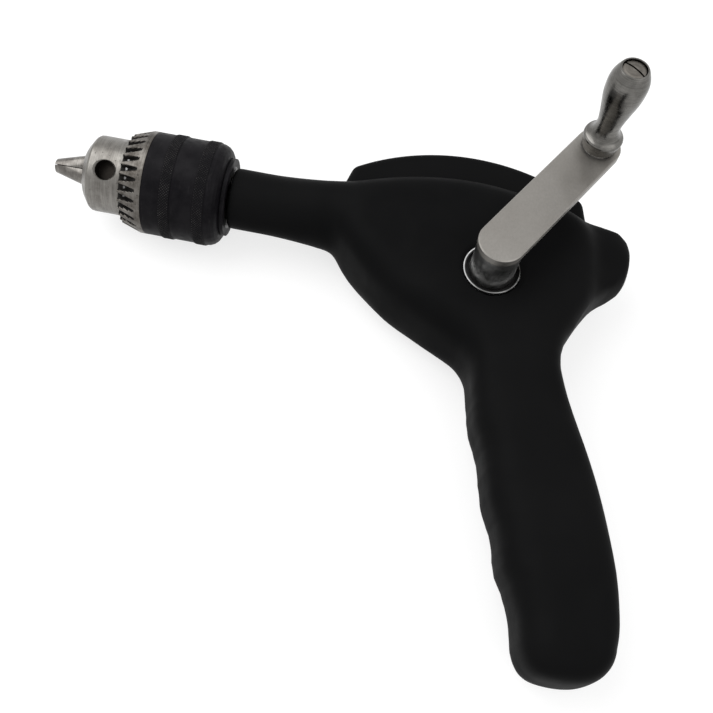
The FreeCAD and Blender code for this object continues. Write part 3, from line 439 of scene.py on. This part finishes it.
def paint():
    """Every node of the model gets its finish."""
    finishes = {
        "body_black": body_black(),
        "chuck_steel": bored_steel(),
        "ring_steel": turned_steel("ring_steel", (0.075, 0.067, 0.059), (0.190, 0.178, 0.163), 0.4,
                                   pits=0.00006, grime=0.03),
        "jaw_steel": turned_steel("jaw_steel", (0.14, 0.13, 0.12), (0.24, 0.228, 0.212), 0.3,
                                  grime=0.1),
        "knob_steel": turned_steel("knob_steel", (0.125, 0.121, 0.113), (0.19, 0.184, 0.173), 0.27,
                                   axis="z", grime=0.4),
        "screw_steel": turned_steel("screw_steel", (0.15, 0.138, 0.122), (0.215, 0.20, 0.18), 0.4,
                                    axis="z", pits=0.00003, grime=0.2),
        "bright_steel": ring_painted_rim(),
        "gear_steel": turned_steel("gear_steel", (0.22, 0.22, 0.22), (0.34, 0.34, 0.34), 0.35,
                                   axis="z"),
        "bronze": turned_steel("bronze", (0.36, 0.22, 0.10), (0.52, 0.34, 0.17), 0.4, axis="z"),
        "collar_steel": dark_metal("collar_steel", (0.20, 0.20, 0.196), 0.34, 1.0),
        "sleeve_black": worn_sleeve(),
        "spring_steel": dark_metal("spring_steel", (0.02, 0.02, 0.02), 0.35),
        "seal_rubber": dark_metal("seal_rubber", (0.006, 0.006, 0.006), 0.7, 0.0),
        "arm_steel": arm_steel(),
        "knurl_black": knurl_steel(),
        # painted shade: a near-black finish for the floors of the toothed ring's gaps
        "gap_grime": dark_metal("gap_grime", (0.005, 0.0045, 0.004), 0.6, 0.0, 0.1),
    }
    slots = {part["node"]: part["material_slot"] for part in frame["record"]["subparts"]}
    slots["chuck_back_ring"] = "sleeve_black"
    for name, node in NODES.items():
        node.data.materials.clear()
        node.data.materials.append(finishes[slots[name]])
    return finishes


def bare_copy(node):
    """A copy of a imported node's mesh, without its materials."""
    data = NODES[node].data.copy()
    data.materials.clear()
    return data


def shown(name, data, *materials):
    """A piece of the scene from mesh data without materials; its faces keep their numbers."""
    for material in materials:
        data.materials.append(material)
    piece = bpy.data.objects.new(name, data)
    bpy.context.scene.collection.objects.link(piece)
    return piece


def mesh_data(name, mesh):
    """Turns a bmesh into mesh data, and frees it."""
    data = bpy.data.meshes.new(name)
    mesh.to_mesh(data)
    mesh.free()
    return data


def circle(mesh, x, steps, radii):
    """Points round the spindle at x; radii gives the height and the width at each step."""
    points = []
    for k in range(steps):
        high, wide = radii(k)
        angle = math.tau * k / steps
        points.append(mesh.verts.new((x * MM, high * math.sin(angle) * MM, wide * math.cos(angle) * MM)))
    return points


def round_circle(mesh, x, steps, radius_at):
    return circle(mesh, x, steps, lambda k: (radius_at(k),) * 2)


def knurl(name, start, end, material):
    """A closed band whose outside is a chequer of points and valleys."""
    steps = 2 * KNURL_ROUND
    rows = round((end - start) / (math.tau * KNURL_R / steps))
    mesh = bmesh.new()

    def peak(row, k):
        inside = 0 < row < rows
        return KNURL_R + (KNURL_HEIGHT if inside and (row + k) % 2 == 0 else 0.0)

    rings = []
    for row in range(rows + 1):
        x = start + (end - start) * row / rows
        rings.append(round_circle(mesh, x, steps, lambda k, row=row: peak(row, k)))
    for row in range(rows):
        for k in range(steps):
            a, b = rings[row][k], rings[row][(k + 1) % steps]
            c, d = rings[row + 1][(k + 1) % steps], rings[row + 1][k]
            halves = ((a, b, d), (b, c, d)) if (row + k) % 2 == 0 else ((a, b, c), (a, c, d))
            for half in halves:
                mesh.faces.new(half)
    inner = [round_circle(mesh, x, steps, lambda k: KNURL_BASE_R) for x in (start, end)]
    for k in range(steps):
        n = (k + 1) % steps
        mesh.faces.new((rings[0][k], inner[0][k], inner[0][n], rings[0][n]))
        mesh.faces.new((rings[-1][n], inner[1][n], inner[1][k], rings[-1][k]))
        mesh.faces.new((inner[0][k], inner[1][k], inner[1][n], inner[0][n]))
    bmesh.ops.recalc_face_normals(mesh, faces=mesh.faces)
    band = shown(name, mesh_data(name, mesh), material)
    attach(band, "sleeve")


def toothed_ring(*materials):
    """Replaces the plain toothed ring: pointed teeth on a cone, with the floors of the gaps between them
    painted dark, as shade.
    """
    steps = RING_TEETH * RING_ACROSS
    mesh = bmesh.new()

    def depth(k, along):
        """1 in the middle of a gap, 0 on a tooth; along is 0 at the rim and 1 at the front."""
        off = abs(((k / RING_ACROSS + 0.5) % 1.0) - 0.5) * 2
        half = GAP_WIDTH * (GAP_START + (1.0 - GAP_START) * along)
        return max(0.0, 1.0 - off / half) if along > 0 else 0.0

    def surface(k, along, radius):
        return radius - GAP_DEPTH * min(1.0, GAP_RISE * along) * min(1.0, GAP_FLOOR * depth(k, along))

    rows = [(RING_X[0], 0.0, RING_R - RING_CHAMFER), (RING_X[0] - RING_CHAMFER, 0.0, RING_R),
            (RING_RIM_X, 0.0, RING_R)]
    rim_row = len(rows) - 1
    for i in range(1, RING_ALONG + 1):
        along = i / RING_ALONG
        rows.append((RING_RIM_X + (RING_X[1] - RING_RIM_X) * along, along,
                     RING_R + (RING_FRONT_R - RING_R) * along))
    rings = [round_circle(mesh, x, steps, lambda k, along=along, r=r: surface(k, along, r))
             for x, along, r in rows]
    rings += [round_circle(mesh, x, steps, lambda k: RING_IN_R) for x in RING_X[::-1]]
    for row in range(len(rings)):
        above = rings[(row + 1) % len(rings)]
        middle = min(1.0, (row - rim_row + 0.5) / RING_ALONG)
        for k in range(steps):
            n = (k + 1) % steps
            face = mesh.faces.new((rings[row][k], rings[row][n], above[n], above[k]))
            # faces deep in a gap get the painted-shade finish
            if rim_row <= row < len(rows) and depth(k + 0.5, middle) > GAP_SHADE_DEPTH:
                face.material_index = 1
    bmesh.ops.recalc_face_normals(mesh, faces=mesh.faces)
    piece = shown("toothed_ring", mesh_data("toothed_ring", mesh), *materials)
    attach(piece, "sleeve")
    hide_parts("gear_ring")


def short_nose(material):
    """Replaces the chuck's body by the same body with its nose a little shorter, as photographed."""
    data = bare_copy("chuck_body")
    start = NOSE_SHORT_FROM * MM
    for vertex in data.vertices:
        if vertex.co.x < start:
            vertex.co.x = start + (vertex.co.x - start) * NOSE_SHORT
    piece = shown("chuck_nose", data, material)
    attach(piece, "spindle")
    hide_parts("chuck_body")


def sunk_screws(material):
    """Replaces the shell screws by the same screws set a little deeper, under the softened skin."""
    data = bare_copy("shell_screws")
    for vertex in data.vertices:
        vertex.co.z += SCREWS_DEEPER * MM
    piece = shown("sunk_screws", data, material)
    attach(piece, "housing")
    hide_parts("shell_screws")


def tube(mesh, sections, wall, steps):
    """Adds a closed tube through oval sections to mesh."""
    inside = [(x, high - wall, wide - wall) for x, high, wide in sections[::-1]]
    rings = [circle(mesh, x, steps, lambda k, high=high, wide=wide: (high, wide))
             for x, high, wide in list(sections) + inside]
    for first, second in zip(rings, rings[1:] + rings[:1]):
        for k in range(steps):
            n = (k + 1) % steps
            mesh.faces.new((first[k], first[n], second[n], second[k]))


def prism(mesh, outline, low, high):
    """Adds a closed solid of an outline in the XY plane to mesh."""
    rings = [[mesh.verts.new((x * MM, y * MM, z * MM)) for x, y in outline] for z in (low, high)]
    for k in range(len(outline)):
        n = (k + 1) % len(outline)
        mesh.faces.new((rings[0][k], rings[0][n], rings[1][n], rings[1][k]))
    mesh.faces.new(rings[0][::-1])
    mesh.faces.new(rings[1])


def faded(distance, limits):
    """0 before the first limit, 1 past the second."""
    return np.clip((distance - limits[0]) / (limits[1] - limits[0]), 0.0, 1.0)


def read(items, attribute, width, kind=float):
    """One attribute of many mesh elements, as rows."""
    values = np.empty(len(items) * width, dtype=kind)
    items.foreach_get(attribute, values)
    return values.reshape(-1, width)


def moved_to(data, points):
    """Writes the points, in mm, back to the mesh."""
    data.vertices.foreach_set("co", (points * MM).ravel())
    data.update()


def smoothed(points, edges, weight, passes):
    """Draws each point towards the middle of its neighbours, by its weight."""
    count = np.bincount(edges.ravel(), minlength=len(points)).astype(float)
    for _ in range(passes):
        total = np.stack([np.bincount(edges[:, 0], points[edges[:, 1], axis], len(points))
                          + np.bincount(edges[:, 1], points[edges[:, 0], axis], len(points))
                          for axis in range(3)], 1)
        points = points + 0.5 * weight[:, None] * (total / count[:, None] - points)
    return points


def table(rows, at, key=0):
    """Straight-line reading of two-column rows, with the given column as the key."""
    return np.interp(at, [row[key] for row in rows], [row[1 - key] for row in rows])


def slimmed(points):
    """Moves the skin's points, in mm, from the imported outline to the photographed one."""
    x, y, z = points.T.copy()
    below = -y
    (top_x, top_below), (end_x, end_below) = GRIP_FRONT_LINE
    front = top_x + (end_x - top_x) / (end_below - top_below) * (below - top_below)
    back = table(GRIP_BACK_LINE, below, 1)
    across = np.clip((x - front) / (back - front), 0.0, 1.0)
    taken = table(GRIP_FRONT, below) * (1 - across) - table(GRIP_BACK, below) * across
    moved = x + faded(below, GRIP_BELOW) * taken
    outward = (x - THROAT_EDGE[0]) * THROAT_OUT[0] + (y - THROAT_EDGE[1]) * THROAT_OUT[1]
    throat = np.clip(1.0 + outward / THROAT_DEEP, 0.0, 1.0) * (x < 0)
    throat *= faded(x, THROAT_FRONT_X) * faded(-x, THROAT_REAR_X)
    moved -= THROAT_IN * throat * THROAT_OUT[0]
    y -= THROAT_IN * throat * THROAT_OUT[1]
    moved += BOSS_LONGER * faded(x, BOSS_LONGER_X) * (below < BOSS_LOWEST)
    z *= 1.0 - GRIP_THIN * faded(below, GRIP_THIN_BELOW)
    return np.stack([moved, y, z], 1)


def joined_shells():
    """Both packed shells and the two blends, remeshed as one."""
    mesh = bmesh.new()
    for node in ("near_shell", "far_shell"):
        mesh.from_mesh(NODES[node].data)
    tube(mesh, NECK_BLEND, NECK_BLEND_WALL, NECK_BLEND_STEPS)
    prism(mesh, BOSS_BLEND, -BOSS_BLEND_HALF, BOSS_BLEND_HALF)
    rough = bpy.data.objects.new("skin", mesh_data("skin", mesh))
    bpy.context.scene.collection.objects.link(rough)
    remesh = rough.modifiers.new("remesh", "REMESH")
    remesh.mode = "VOXEL"
    remesh.voxel_size = SKIN_VOXEL * MM
    done = bpy.data.meshes.new_from_object(rough.evaluated_get(bpy.context.evaluated_depsgraph_get()))
    bpy.data.objects.remove(rough)
    return done


def free_weight(points, from_crank):
    """How far a point may be smoothed: 0 at the screws, crank, rear bore and end of the neck."""
    screws = kdtree.KDTree(len(NODES["shell_screws"].data.vertices))
    for number, vertex in enumerate(NODES["shell_screws"].data.vertices):
        screws.insert((vertex.co.x, vertex.co.y, 0.0), number)
    screws.balance()
    to_screw = np.array([screws.find((x * MM, y * MM, 0.0))[2] / MM for x, y, z in points])
    from_spindle = np.hypot(points[:, 1], points[:, 2])
    weight = faded(to_screw, HOLD_SCREWS)
    weight *= faded(from_crank, HOLD_CRANK)
    weight *= faded(from_spindle + FAR_OFF * (points[:, 0] < HOLD_WIRE_X), HOLD_WIRE)
    return weight * faded(points[:, 0], HOLD_NECK_X)


def inner_walls(data, points):
    """True for the points of the mesh that face another wall, inside the housing."""
    corners = [v.co for v in data.vertices]
    tree = bvhtree.BVHTree.FromPolygons(corners, [f.vertices for f in data.polygons])
    faces_wall = []
    for vertex in data.vertices:
        start = vertex.co + vertex.normal * (INNER_LIFT * MM)
        hit = tree.ray_cast(start, vertex.normal, INNER_REACH * MM)[0]
        faces_wall.append(hit is not None)
    return np.array(faces_wall) & (np.abs(points[:, 2]) < INNER_HALF)


def soft_body():
    """Both shells as one mesh with softened edges and the photographed outline."""
    done = joined_shells()
    points = read(done.vertices, "co", 3) / MM
    edges = read(done.edges, "vertices", 2, np.int64)
    from_crank = np.hypot(points[:, 0], points[:, 1] - CRANK_AXIS[1] / MM)
    weight = free_weight(points, from_crank)
    inner = inner_walls(done, points)
    weight[inner] = 0.0
    inner &= from_crank > INNER_FROM
    points = smoothed(points, edges, np.ones(len(points)), SKIN_EVEN_PASSES)
    points = smoothed(points, edges, weight, SKIN_PASSES)
    moved_to(done, points)
    normals = read(done.vertices, "normal", 3)
    points = slimmed(points + normals * (SKIN_SWELL * weight - INNER_ROOM * inner)[:, None])
    moved_to(done, points)
    return done


def half_skin(body, node, side, material):
    """Replaces a shell by its half of the soft body, closed along the parting plane."""
    mesh = bmesh.new()
    mesh.from_mesh(body)
    cut = bmesh.ops.bisect_plane(mesh, geom=mesh.verts[:] + mesh.edges[:] + mesh.faces[:],
                                 plane_co=(0, 0, 0), plane_no=(0, 0, -side), clear_outer=True)
    rim = [e for e in cut["geom_cut"] if isinstance(e, bmesh.types.BMEdge)]
    bmesh.ops.triangle_fill(mesh, use_beauty=False, use_dissolve=False, edges=rim, normal=(0, 0, -side))
    for face in mesh.faces:
        face.smooth = True
    for edge in rim:
        if edge.is_valid:
            edge.smooth = False
    piece = shown(node + "_skin", mesh_data(node + "_skin", mesh), material)
    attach(piece, "housing")
    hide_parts(node)


def seen_straight(tree):
    """1 for rays that show the background itself: camera, glossy and transmission rays."""
    path = tree.nodes.new("ShaderNodeLightPath").outputs
    total = path["Is Camera Ray"]
    for name in ("Is Glossy Ray", "Is Transmission Ray"):
        add = tree.nodes.new("ShaderNodeMath")
        add.operation = "ADD"
        add.use_clamp = True
        tree.links.new(total, add.inputs[0])
        tree.links.new(path[name], add.inputs[1])
        total = add.outputs[0]
    return total


def floor():
    """A floor that is seen as plain white and still takes the drill's shadow."""
    bpy.ops.mesh.primitive_plane_add(size=FLOOR_SIZE, location=(0, 0, cad_box[0][2] - FLOOR_BELOW))
    plane = bpy.context.object
    plane.name = "floor"
    finish = Finish("floor_white", (FLOOR_WHITE,) * 3, 0.95, Specular_IOR_Level=0.0)
    tree = finish.tree
    glow = tree.nodes.new("ShaderNodeEmission")
    tree.links.new(seen_straight(tree), glow.inputs["Strength"])
    glow.inputs["Color"].default_value = (FLOOR_LIFT, FLOOR_LIFT, FLOOR_LIFT, 1.0)
    both = tree.nodes.new("ShaderNodeAddShader")
    tree.links.new(finish.shader.outputs[0], both.inputs[0])
    tree.links.new(glow.outputs[0], both.inputs[1])
    tree.links.new(both.outputs[0], tree.nodes["Material Output"].inputs["Surface"])
    plane.data.materials.append(finish.material)


def world():
    """An even pale light from all sides, seen as plain white."""
    studio = bpy.data.worlds.new("studio")
    bpy.context.scene.world = studio
    studio.use_nodes = True
    tree = studio.node_tree
    strength = tree.nodes.new("ShaderNodeMapRange")
    strength.inputs["To Min"].default_value = WORLD_LIGHT
    strength.inputs["To Max"].default_value = 1.0
    tree.links.new(seen_straight(tree), strength.inputs["Value"])
    tree.links.new(strength.outputs["Result"], tree.nodes["Background"].inputs["Strength"])
    tree.nodes["Background"].inputs["Color"].default_value = (1.0, 1.0, 1.0, 1.0)


def lamp(name, place, size, power):
    """A round soft lamp that looks at the origin."""
    data = bpy.data.lights.new(name, "AREA")
    data.shape = "DISK"
    data.size = size
    data.energy = power
    light = bpy.data.objects.new(name, data)
    light.location = place
    light.rotation_euler = (-Vector(place)).to_track_quat("-Z", "Y").to_euler()
    bpy.context.scene.collection.objects.link(light)


camera()
finishes = paint()
for number, (start, end) in enumerate(KNURL_BANDS, 1):
    knurl("knurl_%d" % number, start, end, finishes["knurl_black"])
toothed_ring(finishes["ring_steel"], finishes["gap_grime"])
short_nose(finishes["chuck_steel"])
sunk_screws(finishes["screw_steel"])
body = soft_body()
half_skin(body, "near_shell", 1, finishes["body_black"])
half_skin(body, "far_shell", -1, finishes["body_black"])
floor()
world()
lamp("key", *KEY_LAMP)
lamp("fill", *FILL_LAMP)
bpy.context.scene.view_settings.view_transform = "Standard"
